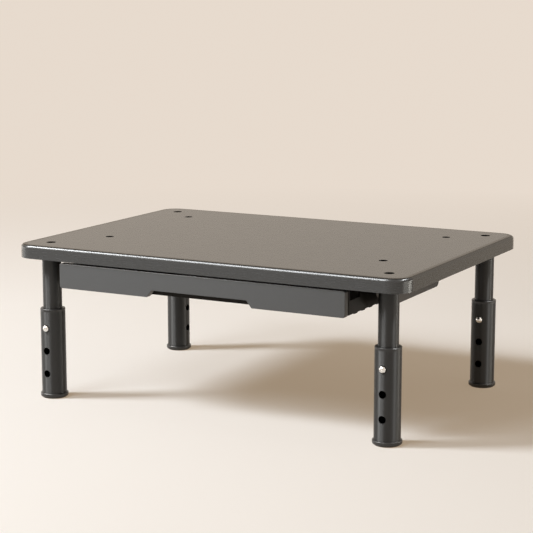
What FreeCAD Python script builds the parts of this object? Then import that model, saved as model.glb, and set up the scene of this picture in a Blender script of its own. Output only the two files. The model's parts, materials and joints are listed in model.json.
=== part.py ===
"""Height-adjustable laptop stand: a pressed steel deck on four telescopic legs, with a drawer under it.

Millimetres, +Z up.  The origin is on the floor under the middle of the deck, the drawer opens
towards -Y, and +X is on the right of somebody who faces the drawer.
"""
import FreeCAD, Part
import math
import os

Vector = FreeCAD.Vector
X_AXIS = Vector(1, 0, 0)
Y_AXIS = Vector(0, 1, 0)
Z_AXIS = Vector(0, 0, 1)
ORIGIN = Vector(0, 0, 0)

# ---------------------------------------------------------------- deck
DECK_WIDTH = 380.0
DECK_DEPTH = 268.0
DECK_HEIGHT = 142.5          # top face above the floor with the legs fully out
DECK_SHEET = 1.5
DECK_CORNER = 17.0           # plan radius of the corners
DECK_BEND = 3.0              # outside radius where the top turns down into the skirt
SKIRT_HEIGHT = 12.1

# ---------------------------------------------------------------- legs
LEG_INSET = 24.0             # deck side, front or back to leg axis
OUTER_TUBE_DIAMETER = 22.5
OUTER_TUBE_WALL = 1.5
INNER_TUBE_DIAMETER = 17.2
INNER_TUBE_WALL = 1.4
SLEEVE_HEIGHT = 82.5         # top of the collar above the floor
HOLE_PITCH = 21.0
HOLE_COUNT = 3
TOP_HOLE_DROP = 17.5         # collar top to the highest button hole
INNER_TUBE_TAIL = 11.0       # button axis to the lower end of the inner tube

COLLAR_FLANGE = 2.5
COLLAR_SLEEVE = 10.0
GLIDE_RING_HEIGHT = 6.0
GLIDE_RING_LIP = 1.2
GLIDE_RING_LIP_REACH = 1.2

SPIGOT_LENGTH = 14.5
PLUG_LENGTH = 14.0
PLUG_GAP = 0.2               # lower end of the spigot to the top of the plug
TUBE_CHAMFER = 0.4

# ---------------------------------------------------------------- snap buttons
BUTTON_DIAMETER = 5.8
BUTTON_PROUD = 0.7           # straight part that stands out of the outer tube
BUTTON_DOME = 1.6
BUTTON_DIMPLE = 0.9          # radius of the dimple in the tip
BUTTON_DIMPLE_DEPTH = 0.3
BUTTON_BASE_DIAMETER = 7.2
BUTTON_BASE = 0.9
BUTTON_BASE_GAP = 0.13       # base to the inside of the inner tube
BUTTON_TUBE_GAP = 0.4        # round the button in the outer tube's hole
SPRING_WIDTH = 5.0
SPRING_LEAF = 0.5
SPRING_RISE = 35.0           # button axis to the fold of the spring
SPRING_TAIL = 4.0            # button axis to the free ends
SPRING_FLAT = 5.0            # button axis to where the leaves start to lean
SPRING_FOLD_RADIUS = 2.0
SPRING_BEND_RADIUS = 8.0

# ---------------------------------------------------------------- feet
FOOT_DIAMETER = 25.1
FOOT_HEIGHT = 4.4
FOOT_FLOOR = 2.5             # lower end of the outer tube above the floor
FOOT_PLUG_HEIGHT = 10.0
FOOT_PLUG_WALL = 2.0
FOOT_SHOULDER = 1.0          # rounding at the top of the cap
FOOT_ROUND = 1.2             # and at its foot
PAD_DIAMETER = 22.4
PAD_THICKNESS = 1.8
PAD_PROUD = 0.6
PAD_CHAMFER = 0.3

# ---------------------------------------------------------------- screws
LEG_SCREW_DIAMETER = 4.0
LEG_SCREW_HEAD = 7.0
LEG_SCREW_HEAD_HEIGHT = 4.0
LEG_SCREW_SUNK = 4.0         # deck top to screw head top
LEG_SCREW_LENGTH = 20.0
LEG_SCREW_SOCKET = 3.0       # across the flats of the hex socket
LEG_HOLE_DIAMETER = 8.6
RUNNER_SCREW_DIAMETER = 4.0
RUNNER_SCREW_HEAD = 7.6
RUNNER_SCREW_SOCKET = 2.5
RUNNER_SCREW_LENGTH = 7.4
NUT_FLATS = 7.0
NUT_HEIGHT = 3.2
FRONT_SCREW_DIAMETER = 3.0
FRONT_SCREW_HEAD = 5.5
FRONT_SCREW_HEAD_HEIGHT = 2.0
FRONT_SCREW_REACH = 4.0      # into the drawer front
FRONT_SCREW_END = 19.5       # drawer front's end to the outer screws
FRONT_SCREW_DROP = 10.7      # drawer front top to screw axis
SOCKET_SHARE = 0.55          # socket depth as a share of the head's height

# ---------------------------------------------------------------- drawer
FRONT_INSET = 50.5           # deck side to the drawer front's end, before its shift
FRONT_SHIFT = 2.4            # drawer front sits this far left of the drawer's middle
FRONT_HEIGHT = 22.3
FRONT_THICKNESS = 5.5
FRONT_SETBACK = 1.8          # deck face to drawer face
FRONT_GAP = 1.7              # skirt to drawer front
FRONT_CORNER = 2.0
FRONT_EDGE = 0.5
NOTCH_TOP_WIDTH = 92.6
NOTCH_BOTTOM_WIDTH = 102.2
NOTCH_HEIGHT = 6.2
NOTCH_CORNER = 1.2
TRAY_DEPTH = 202.2
TRAY_WALL = 1.6
TRAY_SIDE_REVEAL = 3.0       # drawer front's end to the tray's side
TRAY_TOP_DROP = 1.2          # drawer front top to tray rim
TRAY_CORNER = 4.0
BEAD_HEIGHT = 0.7
BEAD_WIDTH = 7.0
BEAD_PITCH = 15.0
BEAD_CLEAR = 12.0            # finger pocket or back wall to the nearest bead
POCKET_DEPTH = 5.0           # drawer front's back to the finger pocket's wall
POCKET_SIDE = 4.0            # pocket past the notch on each side
POCKET_TAPER = 4.0
SIDE_DIP = 8.5               # rim to the low stretch of each side
SIDE_DIP_START = 5.0         # tray front to the low stretch
SIDE_DIP_END = 28.0          # tray front to the full height again
SIDE_DIP_RUN = 4.0
FLANGE_REACH = 10.4
FLANGE_THICKNESS = 1.5
DRAWER_TRAVEL = 110.0

# ---------------------------------------------------------------- runners
RUNNER_SHEET = 1.5
RUNNER_TOP_WIDTH = 22.0
RUNNER_LIP = 6.5
RUNNER_BEND = 1.2
RUNNER_FRONT = 36.0          # deck front to the runner's top flange
RUNNER_BACK = 35.0           # deck back to the runner's top flange
RUNNER_FRONT_RAKE = 18.0     # web's front end leans back this far at its foot
RUNNER_DEEP_BACK = 100.0     # deck back to the end of the web's deep stretch
RUNNER_BACK_RAKE = 6.0
RUNNER_SHALLOW = 19.5        # web height behind the deep stretch
RUNNER_CORNER = 5.0
RUNNER_SCREW_EDGE = 13.0     # runner's outside to screw axis
RUNNER_SCREW_FRONT = 76.0    # deck front to the front screws
RUNNER_SCREW_BACK = 50.0     # deck back to the back screws
GLIDE_WALL = 1.6
GLIDE_SHELF_REACH = 8.9
GLIDE_FRONT = 6.0            # runner's front end to the glide's
GLIDE_STUD_DIAMETER = 4.0
STOP_BLOCK = 4.0
STOP_LUG = 6.0
STOP_LUG_HEIGHT = 1.2

# ---------------------------------------------------------------- clearances
FIT = 0.05                   # between parts that are pressed or screwed together
RUNNING = 0.08               # radial, between telescoping parts
SLIDE_UNDER = 0.2            # tray flange to the shelf that carries it
SLIDE_OVER = 1.6             # tray flange to the lip above it
SLIDE_SIDE = 0.5             # tray flange to the back of the glide
STOP_GAP = 0.3

# ---------------------------------------------------------------- derived places
half_width = DECK_WIDTH / 2
half_depth = DECK_DEPTH / 2
deck_under = DECK_HEIGHT - DECK_SHEET
skirt_bottom = DECK_HEIGHT - SKIRT_HEIGHT

leg_x = half_width - LEG_INSET
leg_y = half_depth - LEG_INSET
outer_radius = OUTER_TUBE_DIAMETER / 2
outer_bore = outer_radius - OUTER_TUBE_WALL
inner_radius = INNER_TUBE_DIAMETER / 2
inner_bore = inner_radius - INNER_TUBE_WALL
outer_tube_top = SLEEVE_HEIGHT - COLLAR_FLANGE
button_z = SLEEVE_HEIGHT - TOP_HOLE_DROP
inner_tube_bottom = button_z - INNER_TUBE_TAIL
button_radius = BUTTON_DIAMETER / 2
button_hole_radius = button_radius + BUTTON_TUBE_GAP

spigot_bottom = deck_under - SPIGOT_LENGTH
plug_top = spigot_bottom - PLUG_GAP
leg_head_top = DECK_HEIGHT - LEG_SCREW_SUNK
leg_head_bottom = leg_head_top - LEG_SCREW_HEAD_HEIGHT

front_face_y = -half_depth + FRONT_SETBACK
front_back_y = front_face_y + FRONT_THICKNESS
front_top = skirt_bottom - FRONT_GAP
front_bottom = front_top - FRONT_HEIGHT
front_half = half_width - FRONT_INSET
front_left_end = -front_half - FRONT_SHIFT
front_right_end = front_half - FRONT_SHIFT
tray_half = front_half - TRAY_SIDE_REVEAL
tray_front_y = front_back_y
tray_back_y = tray_front_y + TRAY_DEPTH
tray_top = front_top - TRAY_TOP_DROP
tray_bottom = front_bottom + BEAD_HEIGHT
pocket_y = tray_front_y + POCKET_DEPTH
pocket_half = NOTCH_BOTTOM_WIDTH / 2 + POCKET_SIDE
front_screw_x = front_half - FRONT_SCREW_END
flange_edge = tray_half + FLANGE_REACH
flange_bottom = tray_top - FLANGE_THICKNESS

glide_back = flange_edge + SLIDE_SIDE
web_inside = glide_back + GLIDE_WALL
web_outside = web_inside + RUNNER_SHEET
runner_front_y = -half_depth + RUNNER_FRONT
runner_back_y = half_depth - RUNNER_BACK
deep_back_y = half_depth - RUNNER_DEEP_BACK
runner_screw_x = web_outside - RUNNER_SCREW_EDGE
runner_screw_ys = (-half_depth + RUNNER_SCREW_FRONT, half_depth - RUNNER_SCREW_BACK)
shelf_top = flange_bottom - SLIDE_UNDER
shelf_bottom = shelf_top - GLIDE_WALL
glide_lip_bottom = tray_top + SLIDE_OVER
glide_top = glide_lip_bottom + GLIDE_WALL
glide_front_y = runner_front_y + GLIDE_FRONT
glide_end_y = tray_back_y + STOP_GAP
lug_front_y = tray_back_y - STOP_LUG

# Each leg's place, and the turn that takes its buttons from the front to where they face.
LEGS = {
    "front_left": (-leg_x, -leg_y, 0),
    "front_right": (leg_x, -leg_y, 0),
    "rear_left": (-leg_x, leg_y, 90),
    "rear_right": (leg_x, leg_y, 0),
}


# ---------------------------------------------------------------- shape helpers
def box(x0, x1, y0, y1, z0, z1):
    return Part.makeBox(x1 - x0, y1 - y0, z1 - z0, Vector(x0, y0, z0))


def cylinder(radius, z0, z1):
    return Part.makeCylinder(radius, z1 - z0, Vector(0, 0, z0))


def ring(outside, inside, z0, z1):
    return cylinder(outside, z0, z1).cut(cylinder(inside, z0, z1))


def rounded_face(corners):
    """Plane face inside a polygon of (point, radius) corners; a radius of 0 leaves a sharp corner."""
    count = len(corners)
    arrivals = []
    departures = []
    arcs = []
    for index, (point, radius) in enumerate(corners):
        back = (corners[index - 1][0] - point).normalize()
        ahead = (corners[(index + 1) % count][0] - point).normalize()
        half_angle = back.getAngle(ahead) / 2
        reach = radius / math.tan(half_angle)
        arrivals.append(point + back * reach)
        departures.append(point + ahead * reach)
        crown = (back + ahead).normalize() * (radius / math.sin(half_angle) - radius)
        arcs.append(point + crown)
    edges = []
    for index in range(count):
        if corners[index][1] > 0:
            edges.append(Part.Arc(arrivals[index], arcs[index], departures[index]).toShape())
        following = (index + 1) % count
        if (arrivals[following] - departures[index]).Length > 1e-6:
            edges.append(Part.makeLine(departures[index], arrivals[following]))
    return Part.Face(Part.Wire(edges))


def rounded_block(x_half, y0, y1, corner, z0, z1):
    plan = [(-x_half, y0), (x_half, y0), (x_half, y1), (-x_half, y1)]
    face = rounded_face([(Vector(x, y, z0), corner) for x, y in plan])
    return face.extrude(Z_AXIS * (z1 - z0))


def side_prism(outline, x0, x1):
    """Prism along X of (y, z, radius) corners."""
    face = rounded_face([(Vector(x0, y, z), radius) for y, z, radius in outline])
    return face.extrude(X_AXIS * (x1 - x0))


def front_prism(outline, y0, y1):
    """Prism along Y of (x, z, radius) corners."""
    face = rounded_face([(Vector(x, y0, z), radius) for x, z, radius in outline])
    return face.extrude(Y_AXIS * (y1 - y0))


def plan_prism(outline, z0, z1):
    """Prism along Z of (x, y) corners."""
    face = rounded_face([(Vector(x, y, z0), 0) for x, y in outline])
    return face.extrude(Z_AXIS * (z1 - z0))


def turned(outline):
    """Solid of revolution about Z of (r, z) points."""
    points = [Vector(r, 0, z) for r, z in outline]
    wire = Part.makePolygon(points + points[:1])
    return Part.Face(wire).revolve(ORIGIN, Z_AXIS, 360)


def hexagon(flats, z0, z1):
    corner = flats / math.sqrt(3)
    points = [(corner * math.cos(math.radians(a)), corner * math.sin(math.radians(a)))
              for a in range(0, 360, 60)]
    return plan_prism(points, z0, z1)


def edges_at_height(shape, z):
    return [e for e in shape.Edges if abs(e.BoundBox.ZMin - z) < 1e-6 and abs(e.BoundBox.ZMax - z) < 1e-6]


def edges_at_depth(shape, y):
    return [e for e in shape.Edges if abs(e.BoundBox.YMin - y) < 1e-6 and abs(e.BoundBox.YMax - y) < 1e-6]


def moved(shape, x, y, z=0.0):
    copy = shape.copy()
    copy.translate(Vector(x, y, z))
    return copy


def mirrored(shape):
    return shape.mirror(ORIGIN, X_AXIS)


def pair(shape):
    """The right-hand piece and its mirror image on the left."""
    return {"right": shape, "left": mirrored(shape)}


def at_leg(shape, leg):
    x, y, turn = LEGS[leg]
    copy = shape.copy()
    copy.rotate(ORIGIN, Z_AXIS, turn)
    return moved(copy, x, y)


def runner_screw_places():
    return [(side * runner_screw_x, y) for side in (-1, 1) for y in runner_screw_ys]


def at_runner_screws(shape):
    return Part.makeCompound([moved(shape, x, y) for x, y in runner_screw_places()])


# ---------------------------------------------------------------- deck
def countersink(radius, z_top, depth):
    """Cone of 90 degrees that narrows downwards from its mouth at z_top."""
    return Part.makeCone(radius - depth, radius, depth, Vector(0, 0, z_top - depth))


def top_deck():
    outside = rounded_block(half_width, -half_depth, half_depth, DECK_CORNER, skirt_bottom, DECK_HEIGHT)
    outside = outside.makeFillet(DECK_BEND, edges_at_height(outside, DECK_HEIGHT))
    inside = rounded_block(half_width - DECK_SHEET, -half_depth + DECK_SHEET, half_depth - DECK_SHEET,
                           DECK_CORNER - DECK_SHEET, skirt_bottom, deck_under)
    inside = inside.makeFillet(DECK_BEND - DECK_SHEET, edges_at_height(inside, deck_under))
    deck = outside.cut(inside)
    leg_hole = cylinder(LEG_HOLE_DIAMETER / 2, deck_under, DECK_HEIGHT)
    holes = [at_leg(leg_hole, leg) for leg in LEGS]
    screw_seat = countersink(RUNNER_SCREW_HEAD / 2 + RUNNING, DECK_HEIGHT, DECK_SHEET)
    holes += [moved(screw_seat, x, y) for x, y in runner_screw_places()]
    return deck.cut(Part.makeCompound(holes))


# ---------------------------------------------------------------- legs
def leg_spigot():
    """Boss under the deck that the inner tube slides over; the screw head sits inside it."""
    body = cylinder(inner_bore - FIT, spigot_bottom, deck_under)
    recess = cylinder(LEG_HOLE_DIAMETER / 2, leg_head_bottom, deck_under)
    clearance = cylinder(LEG_SCREW_DIAMETER / 2 + RUNNING, spigot_bottom, leg_head_bottom)
    return body.cut(recess).cut(clearance)


def tube_plug():
    """Threaded plug pressed into the head of the inner tube."""
    body = cylinder(inner_bore - FIT, plug_top - PLUG_LENGTH, plug_top)
    return body.cut(cylinder(LEG_SCREW_DIAMETER / 2 + FIT, plug_top - PLUG_LENGTH, plug_top))


def leg_screw():
    head = cylinder(LEG_SCREW_HEAD / 2, leg_head_bottom, leg_head_top)
    head = head.makeChamfer(TUBE_CHAMFER, edges_at_height(head, leg_head_top))
    shank = cylinder(LEG_SCREW_DIAMETER / 2, leg_head_bottom - LEG_SCREW_LENGTH, leg_head_bottom)
    socket = hexagon(LEG_SCREW_SOCKET, leg_head_top - SOCKET_SHARE * LEG_SCREW_HEAD_HEIGHT, leg_head_top)
    return head.fuse(shank).cut(socket).removeSplitter()


def front_bore(radius, height, y_far):
    """Cutter along -Y from the leg's axis."""
    return Part.makeCylinder(radius, y_far, Vector(0, 0, height), -Y_AXIS)


def inner_tube():
    tube = ring(inner_radius, inner_bore, inner_tube_bottom, deck_under)
    return tube.cut(front_bore(button_radius + RUNNING, button_z, OUTER_TUBE_DIAMETER))


def outer_tube():
    tube = ring(outer_radius, outer_bore, FOOT_FLOOR, outer_tube_top)
    for index in range(HOLE_COUNT):
        height = button_z - index * HOLE_PITCH
        tube = tube.cut(front_bore(button_hole_radius, height, OUTER_TUBE_DIAMETER))
    return tube


def collar_bush():
    bore = inner_radius + RUNNING
    sleeve = outer_bore - FIT
    return turned([
        (bore, outer_tube_top - COLLAR_SLEEVE),
        (sleeve, outer_tube_top - COLLAR_SLEEVE),
        (sleeve, outer_tube_top),
        (outer_radius, outer_tube_top),
        (outer_radius, SLEEVE_HEIGHT - TUBE_CHAMFER),
        (outer_radius - TUBE_CHAMFER, SLEEVE_HEIGHT),
        (bore + TUBE_CHAMFER, SLEEVE_HEIGHT),
        (bore, SLEEVE_HEIGHT - TUBE_CHAMFER),
    ])


def glide_ring():
    """Ring round the lower end of the inner tube that keeps it centred in the outer tube."""
    outside = outer_bore - RUNNING
    seat = inner_tube_bottom - FIT
    return turned([
        (inner_radius + FIT, seat),
        (inner_radius + FIT, inner_tube_bottom + GLIDE_RING_HEIGHT),
        (outside, inner_tube_bottom + GLIDE_RING_HEIGHT),
        (outside, seat - GLIDE_RING_LIP),
        (inner_radius - GLIDE_RING_LIP_REACH, seat - GLIDE_RING_LIP),
        (inner_radius - GLIDE_RING_LIP_REACH, seat),
    ])


def foot_cap():
    outside = FOOT_DIAMETER / 2
    socket = outer_radius + FIT
    plug = outer_bore - FIT
    plug_bore = plug - FOOT_PLUG_WALL
    pad_bore = PAD_DIAMETER / 2 + FIT
    seat = FOOT_FLOOR - FIT
    cap = turned([
        (0, PAD_THICKNESS),
        (pad_bore, PAD_THICKNESS),
        (pad_bore, PAD_PROUD),
        (outside, PAD_PROUD),
        (outside, FOOT_HEIGHT),
        (socket, FOOT_HEIGHT),
        (socket, seat),
        (plug, seat),
        (plug, FOOT_PLUG_HEIGHT - TUBE_CHAMFER),
        (plug - TUBE_CHAMFER, FOOT_PLUG_HEIGHT),
        (plug_bore, FOOT_PLUG_HEIGHT),
        (plug_bore, FOOT_FLOOR + FOOT_PLUG_WALL),
        (0, FOOT_FLOOR + FOOT_PLUG_WALL),
    ])
    for height, radius in ((FOOT_HEIGHT, FOOT_SHOULDER), (PAD_PROUD, FOOT_ROUND)):
        rim = [e for e in edges_at_height(cap, height) if e.BoundBox.XMax > outside - 1e-6]
        cap = cap.makeFillet(radius, rim)
    return cap


def foot_pad():
    pad = cylinder(PAD_DIAMETER / 2, 0, PAD_THICKNESS - FIT)
    return pad.makeChamfer(PAD_CHAMFER, edges_at_height(pad, 0))


# ---------------------------------------------------------------- snap buttons
base_radius = BUTTON_BASE_DIAMETER / 2
base_outside = math.sqrt(inner_bore ** 2 - base_radius ** 2) - BUTTON_BASE_GAP
base_inside = base_outside - BUTTON_BASE


def snap_button():
    """Domed steel button; it is turned about Z and then laid along -Y."""
    straight_end = outer_radius + BUTTON_PROUD
    tip = straight_end + BUTTON_DOME
    dome_radius = (button_radius ** 2 + BUTTON_DOME ** 2) / (2 * BUTTON_DOME)
    base = cylinder(base_radius, base_inside, base_outside)
    shank = cylinder(button_radius, base_outside, tip)
    dome = Part.makeSphere(dome_radius, Vector(0, 0, tip - dome_radius))
    button = base.fuse(shank.common(dome.fuse(cylinder(button_radius, base_outside, straight_end))))
    dimple_radius = (BUTTON_DIMPLE ** 2 + BUTTON_DIMPLE_DEPTH ** 2) / (2 * BUTTON_DIMPLE_DEPTH)
    dimple = Part.makeSphere(dimple_radius, Vector(0, 0, tip + dimple_radius - BUTTON_DIMPLE_DEPTH))
    button = button.cut(dimple).removeSplitter()
    button.rotate(ORIGIN, X_AXIS, 90)
    return moved(button, 0, 0, button_z)


def button_spring():
    """Leaf folded into a V: one leaf behind the button, the other on the back of the tube."""
    front = -(base_inside - FIT - SPRING_LEAF / 2)
    back = math.sqrt(inner_bore ** 2 - (SPRING_WIDTH / 2) ** 2) - FIT - SPRING_LEAF / 2
    low = button_z - SPRING_TAIL
    bend = button_z + SPRING_FLAT
    fold = button_z + SPRING_RISE
    path = [
        (front, low, 0),
        (front, bend, SPRING_BEND_RADIUS),
        ((front + back) / 2, fold, SPRING_FOLD_RADIUS),
        (back, bend, SPRING_BEND_RADIUS),
        (back, low, 0),
    ]
    loop = rounded_face([(Vector(0, y, z), radius) for y, z, radius in path])
    closing = edges_at_height(loop, low)
    leaf_edges = [e for e in loop.Edges if not any(e.isSame(c) for c in closing)]
    spine = Part.Wire(Part.__sortEdges__(leaf_edges))
    start = Vector(0, front, low)
    corners = [start + Vector(x * SPRING_WIDTH / 2, y * SPRING_LEAF / 2, 0)
               for x, y in ((-1, -1), (1, -1), (1, 1), (-1, 1))]
    profile = Part.makePolygon(corners + corners[:1])
    return spine.makePipeShell([profile], True, False)


# ---------------------------------------------------------------- runners
def runner():
    """Right-hand runner: a top flange under the deck, a web outside the tray and a stiffening lip."""
    deep = front_bottom
    shallow = deck_under - RUNNER_SHALLOW
    lip_front = runner_front_y + RUNNER_FRONT_RAKE
    web = side_prism([
        (runner_front_y, deck_under, 0),
        (runner_front_y, shallow, RUNNER_CORNER),
        (lip_front, deep, RUNNER_CORNER),
        (deep_back_y, deep, RUNNER_CORNER),
        (deep_back_y + RUNNER_BACK_RAKE, shallow, RUNNER_CORNER),
        (runner_back_y, shallow, RUNNER_CORNER),
        (runner_back_y, deck_under, 0),
    ], web_inside, web_outside)
    flange = box(web_outside - RUNNER_TOP_WIDTH, web_outside, runner_front_y, runner_back_y,
                 deck_under - RUNNER_SHEET, deck_under)
    lip = box(web_outside - RUNNER_LIP, web_outside, lip_front + RUNNER_CORNER, deep_back_y - RUNNER_CORNER,
              deep, deep + RUNNER_SHEET)
    body = web.fuse([flange, lip]).removeSplitter()
    bends = [e for e in body.Edges
             if abs(e.BoundBox.XMin - web_outside) < 1e-6 and abs(e.BoundBox.XMax - web_outside) < 1e-6
             and abs(e.BoundBox.ZMin - deck_under) < 1e-6]
    body = body.makeFillet(RUNNER_BEND, bends)
    head_left = RUNNER_SCREW_HEAD / 2 + RUNNING - DECK_SHEET
    shank = RUNNER_SCREW_DIAMETER / 2 + RUNNING
    seat = countersink(head_left, deck_under, head_left - shank)
    hole = seat.fuse(cylinder(shank, deck_under - RUNNER_SHEET, deck_under))
    for y in runner_screw_ys:
        body = body.cut(moved(hole, runner_screw_x, y))
    for y in glide_stud_ys():
        body = body.cut(glide_stud(y, FIT))
    return body


def glide_stud_ys():
    return (glide_front_y + 4 * GLIDE_STUD_DIAMETER, glide_end_y - 4 * GLIDE_STUD_DIAMETER)


def glide_stud(y, growth=0.0):
    middle = (shelf_bottom + glide_top) / 2
    radius = GLIDE_STUD_DIAMETER / 2 + growth
    return Part.makeCylinder(radius, RUNNER_SHEET, Vector(web_inside, y, middle), X_AXIS)


def glide_strip():
    """Right-hand nylon channel that carries the tray's flange, with end walls and an opening stop."""
    shelf_x = glide_back - GLIDE_SHELF_REACH
    end_y = glide_end_y + GLIDE_WALL
    body = box(shelf_x, web_inside, glide_front_y, end_y, shelf_bottom, glide_top)
    groove = box(shelf_x, glide_back, glide_front_y, glide_end_y, shelf_top, glide_lip_bottom)
    stop_y = lug_front_y - DRAWER_TRAVEL - STOP_GAP
    block = box(shelf_x, glide_back, stop_y - STOP_BLOCK, stop_y, tray_top + STOP_GAP, glide_lip_bottom)
    studs = [glide_stud(y) for y in glide_stud_ys()]
    return body.cut(groove).fuse([block] + studs).removeSplitter()


def runner_screw():
    head_radius = RUNNER_SCREW_HEAD / 2
    shank_radius = RUNNER_SCREW_DIAMETER / 2
    head_depth = head_radius - shank_radius
    screw = countersink(head_radius, DECK_HEIGHT, head_depth)
    screw = screw.fuse(cylinder(shank_radius, DECK_HEIGHT - RUNNER_SCREW_LENGTH, DECK_HEIGHT - head_depth))
    socket = hexagon(RUNNER_SCREW_SOCKET, DECK_HEIGHT - SOCKET_SHARE * head_depth, DECK_HEIGHT)
    return screw.cut(socket).removeSplitter()


def runner_nut():
    top = deck_under - RUNNER_SHEET
    nut = hexagon(NUT_FLATS, top - NUT_HEIGHT, top)
    return nut.cut(cylinder(RUNNER_SCREW_DIAMETER / 2 + FIT, top - NUT_HEIGHT, top))


# ---------------------------------------------------------------- drawer
def front_screw_places():
    """Two screws on each side: one near the front's end and one midway from it to the finger pocket."""
    height = front_top - FRONT_SCREW_DROP
    midway = (front_screw_x + pocket_half) / 2
    return [(side * x, height) for side in (-1, 1) for x in (midway, front_screw_x)]


def drawer_front():
    panel = front_prism([
        (front_left_end, front_bottom, FRONT_CORNER),
        (-NOTCH_BOTTOM_WIDTH / 2, front_bottom, NOTCH_CORNER),
        (-NOTCH_TOP_WIDTH / 2, front_bottom + NOTCH_HEIGHT, NOTCH_CORNER),
        (NOTCH_TOP_WIDTH / 2, front_bottom + NOTCH_HEIGHT, NOTCH_CORNER),
        (NOTCH_BOTTOM_WIDTH / 2, front_bottom, NOTCH_CORNER),
        (front_right_end, front_bottom, FRONT_CORNER),
        (front_right_end, front_top, FRONT_CORNER),
        (front_left_end, front_top, FRONT_CORNER),
    ], front_face_y, front_back_y)
    panel = panel.makeFillet(FRONT_EDGE, edges_at_depth(panel, front_face_y))
    depth = FRONT_SCREW_REACH + FIT
    for x, z in front_screw_places():
        mouth = Vector(x, front_back_y - depth, z)
        panel = panel.cut(Part.makeCylinder(FRONT_SCREW_DIAMETER / 2 + FIT, depth, mouth, Y_AXIS))
    return panel


def finger_pocket(growth):
    """Space behind the notch, widened all round by the given growth."""
    mouth = pocket_half + growth
    back = mouth - POCKET_TAPER
    y_back = pocket_y + growth
    return plan_prism([(-mouth, tray_front_y), (mouth, tray_front_y), (back, y_back), (-back, y_back)],
                      tray_bottom - BEAD_HEIGHT, tray_top)


def drawer_tray():
    outside = rounded_block(tray_half, tray_front_y, tray_back_y, TRAY_CORNER, tray_bottom, tray_top)
    inside = rounded_block(tray_half - TRAY_WALL, tray_front_y + TRAY_WALL, tray_back_y - TRAY_WALL,
                           TRAY_CORNER - TRAY_WALL, tray_bottom + TRAY_WALL, tray_top)
    tray = outside.cut(finger_pocket(0)).cut(inside.cut(finger_pocket(TRAY_WALL)))

    dip_start = tray_front_y + SIDE_DIP_START
    dip_end = tray_front_y + SIDE_DIP_END
    low = tray_top - SIDE_DIP
    dip = side_prism([(dip_start, tray_top, 0), (dip_start, low, 0), (dip_end - SIDE_DIP_RUN, low, 0),
                      (dip_end, tray_top, 0)], -tray_half, tray_half)
    middle = box(-tray_half + 2 * TRAY_WALL, tray_half - 2 * TRAY_WALL, dip_start, dip_end, low, tray_top)
    tray = tray.cut(dip.cut(middle))

    additions = []
    for side in (-1, 1):
        edges_x = sorted((side * (tray_half - TRAY_WALL / 2), side * flange_edge))
        additions.append(box(*edges_x, dip_end, tray_back_y, flange_bottom, tray_top))
        lug_x = sorted((side * (glide_back - GLIDE_SHELF_REACH), side * flange_edge))
        additions.append(box(*lug_x, lug_front_y, tray_back_y, flange_bottom, tray_top + STOP_LUG_HEIGHT))
    first = pocket_y + BEAD_CLEAR
    count = int((tray_back_y - BEAD_CLEAR - first) / BEAD_PITCH) + 1
    foot_half = BEAD_WIDTH / 2 - BEAD_HEIGHT
    for index in range(count):
        y = first + index * BEAD_PITCH
        additions.append(side_prism([
            (y - BEAD_WIDTH / 2, tray_bottom, 0),
            (y - foot_half, front_bottom, 0),
            (y + foot_half, front_bottom, 0),
            (y + BEAD_WIDTH / 2, tray_bottom, 0),
            (y + BEAD_WIDTH / 2, tray_bottom + TRAY_WALL / 2, 0),
            (y - BEAD_WIDTH / 2, tray_bottom + TRAY_WALL / 2, 0),
        ], -tray_half, tray_half))
    tray = tray.fuse(additions).removeSplitter()
    for x, z in front_screw_places():
        mouth = Vector(x, tray_front_y, z)
        tray = tray.cut(Part.makeCylinder(FRONT_SCREW_DIAMETER / 2 + RUNNING, TRAY_WALL, mouth, Y_AXIS))
    return tray


def front_screw(x, z):
    head_y = tray_front_y + TRAY_WALL
    head = Part.makeCylinder(FRONT_SCREW_HEAD / 2, FRONT_SCREW_HEAD_HEIGHT, Vector(x, head_y, z), Y_AXIS)
    head = head.makeFillet(FRONT_EDGE, edges_at_depth(head, head_y + FRONT_SCREW_HEAD_HEIGHT))
    shank = Part.makeCylinder(FRONT_SCREW_DIAMETER / 2, FRONT_SCREW_REACH + TRAY_WALL,
                              Vector(x, tray_front_y - FRONT_SCREW_REACH, z), Y_AXIS)
    return head.fuse(shank).removeSplitter()


# ---------------------------------------------------------------- the whole stand
def leg_nodes():
    pieces = {
        "leg_spigot": leg_spigot(),
        "inner_tube": inner_tube(),
        "tube_plug": tube_plug(),
        "glide_ring": glide_ring(),
        "outer_tube": outer_tube(),
        "collar_bush": collar_bush(),
        "foot_cap": foot_cap(),
        "foot_pad": foot_pad(),
        "snap_button": snap_button(),
        "button_spring": button_spring(),
    }
    return {f"{name}_{leg}": at_leg(shape, leg) for name, shape in pieces.items() for leg in LEGS}


def stand_nodes():
    nodes = {"top_deck": top_deck()}
    nodes.update(leg_nodes())
    nodes["leg_screws"] = Part.makeCompound([at_leg(leg_screw(), leg) for leg in LEGS])
    nodes.update({f"runner_{side}": shape for side, shape in pair(runner()).items()})
    nodes.update({f"glide_strip_{side}": shape for side, shape in pair(glide_strip()).items()})
    nodes["runner_screws"] = at_runner_screws(runner_screw())
    nodes["runner_nuts"] = at_runner_screws(runner_nut())
    nodes["drawer_tray"] = drawer_tray()
    nodes["drawer_front"] = drawer_front()
    nodes["drawer_front_screws"] = Part.makeCompound([front_screw(x, z) for x, z in front_screw_places()])
    return nodes


os.makedirs("parts", exist_ok=True)
for node_name, node_shape in stand_nodes().items():
    node_shape.exportStep(f"parts/{node_name}.step")
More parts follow.
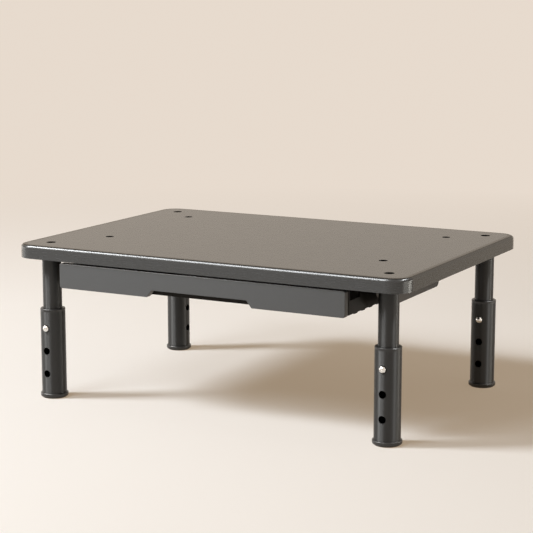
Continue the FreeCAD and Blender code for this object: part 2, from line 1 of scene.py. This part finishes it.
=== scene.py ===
import json
import math
import bpy
from mathutils import Euler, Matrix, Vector

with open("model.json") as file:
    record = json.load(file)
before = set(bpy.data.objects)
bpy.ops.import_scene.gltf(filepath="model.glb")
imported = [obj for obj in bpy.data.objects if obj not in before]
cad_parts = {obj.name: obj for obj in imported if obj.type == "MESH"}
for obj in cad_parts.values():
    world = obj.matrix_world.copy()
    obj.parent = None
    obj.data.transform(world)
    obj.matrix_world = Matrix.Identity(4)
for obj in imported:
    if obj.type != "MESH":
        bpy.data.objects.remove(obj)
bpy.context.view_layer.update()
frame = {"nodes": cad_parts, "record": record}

# ---------------------------------------------------------------- camera
CAMERA_PLACE = Vector((0.67756, -1.28157, 0.37427))
CAMERA_YAW = math.radians(28.031)
CAMERA_PITCH = math.radians(10.070)
CAMERA_LENS = 108.574
CAMERA_SENSOR = 36.0


def add_camera():
    data = bpy.data.cameras.new("camera")
    data.lens = CAMERA_LENS
    data.sensor_width = CAMERA_SENSOR
    camera = bpy.data.objects.new("camera", data)
    camera.location = CAMERA_PLACE
    camera.rotation_euler = Euler((math.pi / 2 - CAMERA_PITCH, 0, CAMERA_YAW))
    bpy.context.scene.collection.objects.link(camera)
    bpy.context.scene.camera = camera


# ---------------------------------------------------------------- finishes
class Finish:
    """A material under construction, mapped in the row frame's metres."""

    def __init__(self, name, colour, roughness, metallic=0.0, specular=0.5):
        self.name = name
        self.material = bpy.data.materials.new(name)
        self.material.use_nodes = True
        self.tree = self.material.node_tree
        self.tree.nodes.clear()
        self.shader = self.tree.nodes.new("ShaderNodeBsdfPrincipled")
        output = self.tree.nodes.new("ShaderNodeOutputMaterial")
        self.tree.links.new(self.shader.outputs["BSDF"], output.inputs["Surface"])
        self.places = self.tree.nodes.new("ShaderNodeTexCoord").outputs["Object"]
        self.colour = colour
        self.shader.inputs["Base Color"].default_value = (*colour, 1)
        self.shader.inputs["Roughness"].default_value = roughness
        self.shader.inputs["Metallic"].default_value = metallic
        self.shader.inputs["Specular IOR Level"].default_value = specular

    def brush(self, amount, across):
        """Draws highlights out along the direction across the brush lines."""
        self.shader.inputs["Anisotropic"].default_value = amount
        direction = self.tree.nodes.new("ShaderNodeCombineXYZ")
        for axis in range(3):
            direction.inputs[axis].default_value = across[axis]
        self.tree.links.new(direction.outputs["Vector"], self.shader.inputs["Tangent"])

    def noise(self, per_metre, detail=2.0, stretch=(1, 1, 1)):
        """Noise with that many cells in a metre, drawn out along the axes whose stretch is small."""
        mapping = self.tree.nodes.new("ShaderNodeMapping")
        mapping.inputs["Scale"].default_value = stretch
        self.tree.links.new(self.places, mapping.inputs["Vector"])
        noise = self.tree.nodes.new("ShaderNodeTexNoise")
        noise.inputs["Scale"].default_value = per_metre
        noise.inputs["Detail"].default_value = detail
        self.tree.links.new(mapping.outputs["Vector"], noise.inputs["Vector"])
        return noise.outputs["Fac"]

    def spread(self, value, low, high, start=0.3, end=0.7):
        """Maps start to end, by default a noise's middle range, onto low to high."""
        node = self.tree.nodes.new("ShaderNodeMapRange")
        node.inputs["From Min"].default_value = start
        node.inputs["From Max"].default_value = end
        node.inputs["To Min"].default_value = low
        node.inputs["To Max"].default_value = high
        self.tree.links.new(value, node.inputs["Value"])
        return node.outputs["Result"]

    def along(self, axis):
        """The place along X, Y or Z."""
        node = self.tree.nodes.new("ShaderNodeSeparateXYZ")
        self.tree.links.new(self.places, node.inputs["Vector"])
        return node.outputs[axis]

    def vector(self, operation, value, operand=None):
        """One step of vector arithmetic on value. LENGTH and DISTANCE give a number."""
        node = self.tree.nodes.new("ShaderNodeVectorMath")
        node.operation = operation
        self.tree.links.new(value, node.inputs[0])
        if operand:
            node.inputs[1].default_value = operand
        return node.outputs["Value" if operation in ("LENGTH", "DISTANCE") else "Vector"]

    def folded_plan(self):
        """The place in plan, with all four quarters folded onto the first."""
        return self.vector("MULTIPLY", self.vector("ABSOLUTE", self.places), (1, 1, 0))

    def both(self, first, second):
        """The product of two masks."""
        node = self.tree.nodes.new("ShaderNodeMath")
        node.operation = "MULTIPLY"
        self.tree.links.new(first, node.inputs[0])
        self.tree.links.new(second, node.inputs[1])
        return node.outputs["Value"]

    def mix(self, value, low, high):
        """Mixes low and high, each a colour or a socket, by value."""
        mix = self.tree.nodes.new("ShaderNodeMix")
        mix.data_type = "RGBA"
        factor, colours = mix.inputs[0], mix.inputs[6:8]
        self.tree.links.new(value, factor)
        for socket, colour in zip(colours, (low, high)):
            if isinstance(colour, tuple):
                socket.default_value = (*colour, 1)
            else:
                self.tree.links.new(colour, socket)
        return mix.outputs[2]

    def tint(self, value, shade):
        """Mixes the colour so far towards shade times the first colour, by value."""
        base = self.shader.inputs["Base Color"]
        before = base.links[0].from_socket if base.is_linked else self.colour
        self.tree.links.new(self.mix(value, before, tuple(c * shade for c in self.colour)), base)

    def roughen(self, value, low, high):
        self.tree.links.new(self.spread(value, low, high), self.shader.inputs["Roughness"])

    def bump(self, height, depth):
        """Raises the surface by height times depth metres."""
        node = self.tree.nodes.new("ShaderNodeBump")
        node.inputs["Strength"].default_value = 1.0
        node.inputs["Distance"].default_value = depth
        self.tree.links.new(height, node.inputs["Height"])
        self.tree.links.new(node.outputs["Normal"], self.shader.inputs["Normal"])


MOTTLE = {"per_metre": 420, "detail": 3}
MOTTLE_SHADE = 0.97
COAT_LINES_PER_METRE = 1100
COAT_LINE_SHADE = 0.96
COAT_LINE_SHARE = 0.5
COAT_LINE_SMOOTHER = 0.006
COAT_LINE_ROUGHER = 0.008
COAT_GRAIN = {"per_metre": 1500, "detail": 1}
COAT_GRAIN_DEPTH = 0.000001


def satin_coat(name, colour, roughness, streaks, metallic=0.3, brushed=0.0, across=(0.3, 0.5, 1.0),
               specular=0.5):
    """Satin metallic coat: fine mottling, and faint streaks along the small axes of streaks."""
    finish = Finish(name, colour, roughness, metallic=metallic, specular=specular)
    if brushed:
        finish.brush(brushed, across)
    finish.tint(finish.spread(finish.noise(**MOTTLE), 0, 1), MOTTLE_SHADE)
    lines = finish.noise(COAT_LINES_PER_METRE, stretch=streaks)
    finish.tint(finish.spread(lines, 0, COAT_LINE_SHARE), COAT_LINE_SHADE)
    finish.roughen(lines, roughness - COAT_LINE_SMOOTHER, roughness + COAT_LINE_ROUGHER)
    finish.bump(finish.noise(**COAT_GRAIN), COAT_GRAIN_DEPTH)
    return finish


PLASTIC_CLOUDS = {"per_metre": 160, "detail": 3}
PLASTIC_CLOUD_SHADE = 0.9
PLASTIC_GRAIN = {"per_metre": 2200, "detail": 1}
PLASTIC_GRAIN_DEPTH = 0.00002
PLASTIC_PIT_SMOOTHER = 0.05
PLASTIC_PIT_ROUGHER = 0.08


def moulded(name, colour, roughness, specular=0.5):
    """Moulded plastic or rubber with an eroded grain."""
    finish = Finish(name, colour, roughness, specular=specular)
    finish.tint(finish.spread(finish.noise(**PLASTIC_CLOUDS), 0, 1), PLASTIC_CLOUD_SHADE)
    pits = finish.noise(**PLASTIC_GRAIN)
    finish.roughen(pits, roughness - PLASTIC_PIT_SMOOTHER, roughness + PLASTIC_PIT_ROUGHER)
    finish.bump(pits, PLASTIC_GRAIN_DEPTH)
    return finish


METAL_LINES_PER_METRE = 1200
METAL_LINE_SHADE = 0.8
METAL_LINE_SHARE = 0.6
METAL_LINE_SMOOTHER = 0.05
METAL_LINE_ROUGHER = 0.1
METAL_LINE_DEPTH = 0.00001


def bare_metal(name, colour, roughness):
    """Uncoated metal with fine scratches."""
    finish = Finish(name, colour, roughness, metallic=1.0)
    lines = finish.noise(METAL_LINES_PER_METRE)
    finish.tint(finish.spread(lines, 0, METAL_LINE_SHARE), METAL_LINE_SHADE)
    finish.roughen(lines, roughness - METAL_LINE_SMOOTHER, roughness + METAL_LINE_ROUGHER)
    finish.bump(lines, METAL_LINE_DEPTH)
    return finish


# The masks below fade in over these widths in metres, and over this share of the fold's height.
HOLE_FADE = 0.0002
FOLD_FADE = 0.0005
FOLD_FADE_SHARE = 0.2


def paint_hole_shade(finish, centre, radius, shade):
    """Paints shade into the deck within radius of the four leg axes: the holes' walls and a thin ring round
    them are painted dark as if in deep shadow.
    """
    apart = finish.vector("DISTANCE", finish.folded_plan(), (*centre, 0))
    finish.tint(finish.spread(apart, 1, 0, start=radius, end=radius + HOLE_FADE), shade)


def paint_fold_shade(finish, half_size, corner, inset, top, drop, shade):
    """Paints shade, standing for a dark reflection, along the line where the deck's flat top begins to bend
    down.

    The line starts inset metres inside the outline and ends drop metres below top.
    """
    core = (half_size[0] - corner, half_size[1] - corner, 0)
    beyond = finish.vector("MAXIMUM", finish.vector("SUBTRACT", finish.folded_plan(), core), (0, 0, 0))
    start = corner - inset
    outside = finish.spread(finish.vector("LENGTH", beyond), 0, 1, start=start, end=start + FOLD_FADE)
    above = finish.spread(finish.along("Z"), 0, 1, start=top - drop, end=top - drop * (1 - FOLD_FADE_SHARE))
    finish.tint(finish.both(outside, above), shade)


def paint_top_edge_highlight(finish, top, depth, fade, shade):
    """Paints a pale highlight over the last depth metres under top, fading out between two places in X."""
    rim = finish.spread(finish.along("Z"), 0, 1, start=top - depth, end=top - depth / 2)
    left = finish.spread(finish.along("X"), 1, 0, start=fade[0], end=fade[1])
    finish.tint(finish.both(rim, left), shade)


FLAT_STREAKS = (0.1, 0.1, 1.0)
UPRIGHT_STREAKS = (1.0, 1.0, 0.02)
FINISHES = {finish.name: finish for finish in (
    satin_coat("deck_paint", (0.090, 0.094, 0.097), 0.27, FLAT_STREAKS,
               metallic=0.6, brushed=0.6, specular=0.25),
    satin_coat("front_paint", (0.101, 0.106, 0.110), 0.36, FLAT_STREAKS, metallic=0.5, brushed=0.8),
    satin_coat("runner_paint", (0.050, 0.045, 0.040), 0.45, FLAT_STREAKS),
    satin_coat("tube_paint", (0.057, 0.058, 0.058), 0.46, UPRIGHT_STREAKS,
               metallic=0.8, brushed=0.95, across=(0.02, 0.03, 1.0)),
    satin_coat("spigot_steel", (0.06, 0.06, 0.055), 0.45, FLAT_STREAKS),
    moulded("collar_plastic", (0.03, 0.03, 0.03), 0.35),
    moulded("foot_plastic", (0.035, 0.035, 0.034), 0.3),
    moulded("tray_plastic", (0.013, 0.011, 0.009), 0.5, specular=0.15),
    moulded("rubber", (0.012, 0.012, 0.012), 0.7),
    moulded("nylon", (0.02, 0.02, 0.02), 0.4),
    bare_metal("bright_steel", (0.55, 0.54, 0.5), 0.35),
    bare_metal("button_steel", (0.85, 0.84, 0.82), 0.2),
    bare_metal("spring_steel", (0.3, 0.3, 0.3), 0.35),
    moulded("black_screw", (0.006, 0.006, 0.006), 0.6, specular=0.0),
)}

LEG_AXIS = (0.166, 0.110)
HOLE_SHADE_RADIUS = 0.00445
DECK_HALF_SIZE = (0.190, 0.134)
DECK_CORNER = 0.017
DECK_TOP = 0.1425
DECK_GRAZING_TINT = (0.97, 0.94, 0.88)
FOLD_INSET = 0.006
FOLD_DROP = 0.0006
DRAWER_FRONT_TOP = 0.1287
HIGHLIGHT_DEPTH = 0.0010
HIGHLIGHT_FADE = (-0.02, 0.10)

# Painted shade: a dark reflection line along the deck's fold, just above the fold's highlight.
paint_fold_shade(FINISHES["deck_paint"], DECK_HALF_SIZE, DECK_CORNER, FOLD_INSET, DECK_TOP, FOLD_DROP, shade=0.1)
# Painted shade: the leg holes and a thin ring round them are darkened as if deep in shadow.
paint_hole_shade(FINISHES["deck_paint"], LEG_AXIS, HOLE_SHADE_RADIUS, shade=0.05)
FINISHES["deck_paint"].shader.inputs["Specular Tint"].default_value = (*DECK_GRAZING_TINT, 1)
# Painted highlight: the drawer front's top edge is lightened where its rounded edge would catch the lamps.
paint_top_edge_highlight(FINISHES["front_paint"], DRAWER_FRONT_TOP, HIGHLIGHT_DEPTH, HIGHLIGHT_FADE, shade=2.6)

node_slots = {part["node"]: part["material_slot"] for part in frame["record"]["subparts"]}
for node_name, node in frame["nodes"].items():
    for index in range(len(node.material_slots)):
        node.material_slots[index].material = FINISHES[node_slots[node_name]].material


# ---------------------------------------------------------------- stage
FLOOR_SIZE = 80.0
FLOOR_COLOUR = (0.60, 0.63, 0.655)
FLOOR_GLOW = (0.32, 0.24, 0.162)
FLOOR_BOUNCE = (0.40, 0.36, 0.32)
FLOOR_ROUGHNESS = 0.8
NEAR_FLOOR_RADIUS = 0.5
FAR_FLOOR_RADIUS = 1.5
BLACK = (0.0, 0.0, 0.0)
BACKDROP = (0.80, 0.705, 0.615)
WORLD_FILL = (0.13, 0.11, 0.09)
SEEN = ("Is Camera Ray", "Is Glossy Ray", "Is Transmission Ray")


def either_ray(tree, names):
    """The largest of those outputs of Light Path."""
    path = tree.nodes.new("ShaderNodeLightPath")
    value = path.outputs[names[0]]
    for name in names[1:]:
        larger = tree.nodes.new("ShaderNodeMath")
        larger.operation = "MAXIMUM"
        tree.links.new(value, larger.inputs[0])
        tree.links.new(path.outputs[name], larger.inputs[1])
        value = larger.outputs["Value"]
    return value


def add_floor():
    """A pale floor that keeps the shadow near the object and fades into the backdrop further out."""
    mesh = bpy.data.meshes.new("floor")
    half = FLOOR_SIZE / 2
    corners = [(-half, -half, 0), (half, -half, 0), (half, half, 0), (-half, half, 0)]
    mesh.from_pydata(corners, [], [(0, 1, 2, 3)])
    floor = bpy.data.objects.new("floor", mesh)
    bpy.context.scene.collection.objects.link(floor)
    finish = Finish("floor", FLOOR_COLOUR, FLOOR_ROUGHNESS, specular=0.0)
    links = finish.tree.links
    is_seen = either_ray(finish.tree, SEEN)
    away = finish.vector("LENGTH", finish.places)
    far = finish.spread(away, 0, 1, start=NEAR_FLOOR_RADIUS, end=FAR_FLOOR_RADIUS)
    seen = finish.mix(is_seen, FLOOR_BOUNCE, finish.mix(far, FLOOR_COLOUR, BLACK))
    links.new(seen, finish.shader.inputs["Base Color"])
    links.new(finish.mix(far, FLOOR_GLOW, BACKDROP), finish.shader.inputs["Emission Color"])
    links.new(is_seen, finish.shader.inputs["Emission Strength"])
    floor.data.materials.append(finish.material)


def add_world(fill_colour, seen_colour):
    """Lights softly with fill_colour and shows seen_colour to the camera and in reflections."""
    world = bpy.data.worlds.new("world")
    bpy.context.scene.world = world
    world.use_nodes = True
    tree = world.node_tree
    tree.nodes.clear()
    mix = tree.nodes.new("ShaderNodeMixShader")
    tree.links.new(either_ray(tree, SEEN), mix.inputs["Fac"])
    for index, colour in ((1, fill_colour), (2, seen_colour)):
        background = tree.nodes.new("ShaderNodeBackground")
        background.inputs["Color"].default_value = (*colour, 1)
        tree.links.new(background.outputs["Background"], mix.inputs[index])
    output = tree.nodes.new("ShaderNodeOutputWorld")
    tree.links.new(mix.outputs["Shader"], output.inputs["Surface"])


PANEL_AIM = Vector((0, 0, 0.08))
WHITE = (1.0, 1.0, 1.0)
DAYLIGHT = (1.0, 0.99, 0.98)
WARM = (1.0, 0.95, 0.86)


def add_panel(name, bearing, rise, distance, size, power, colour=WHITE, sheen_only=False):
    """A soft panel that stands at that bearing and rise from the object and faces it.

    Both are in degrees, and a bearing goes from -Y towards +X. A sheen_only panel shows in
    reflections and lights nothing else.
    """
    data = bpy.data.lights.new(name, "AREA")
    data.shape = "RECTANGLE"
    data.size = size[0]
    data.size_y = size[1]
    data.energy = power
    data.color = colour
    turn = math.radians(bearing)
    lift = math.radians(rise)
    away = Vector((math.sin(turn) * math.cos(lift), -math.cos(turn) * math.cos(lift), math.sin(lift)))
    light = bpy.data.objects.new(name, data)
    light.visible_diffuse = not sheen_only
    light.visible_camera = False
    light.location = PANEL_AIM + away * distance
    light.rotation_euler = (-away).to_track_quat("-Z", "Y").to_euler()
    bpy.context.scene.collection.objects.link(light)


add_floor()
add_world(WORLD_FILL, BACKDROP)
# The low cards end below the deck's top, so that the top never mirrors them.
add_panel("key", -60, 38, 3.2, (0.66, 0.66), 101, DAYLIGHT)
add_panel("front_panel", -25, 42, 1.9, (0.8, 0.5), 10.5)
add_panel("left_card", -86, 0, 1.0, (0.85, 0.12), 0.9, sheen_only=True)
add_panel("high_card", -42, 50, 1.9, (1.3, 0.5), 34, sheen_only=True)
add_panel("right_card", 112, 0, 0.9, (0.32, 0.12), 1.7, WARM, sheen_only=True)
add_panel("right_front_card", 86, 0, 0.9, (0.40, 0.12), 0.6, WARM, sheen_only=True)
add_panel("right_high_card", 106, 52, 2.0, (0.3, 0.3), 30, sheen_only=True)
add_camera()
bpy.context.scene.view_settings.view_transform = "Standard"
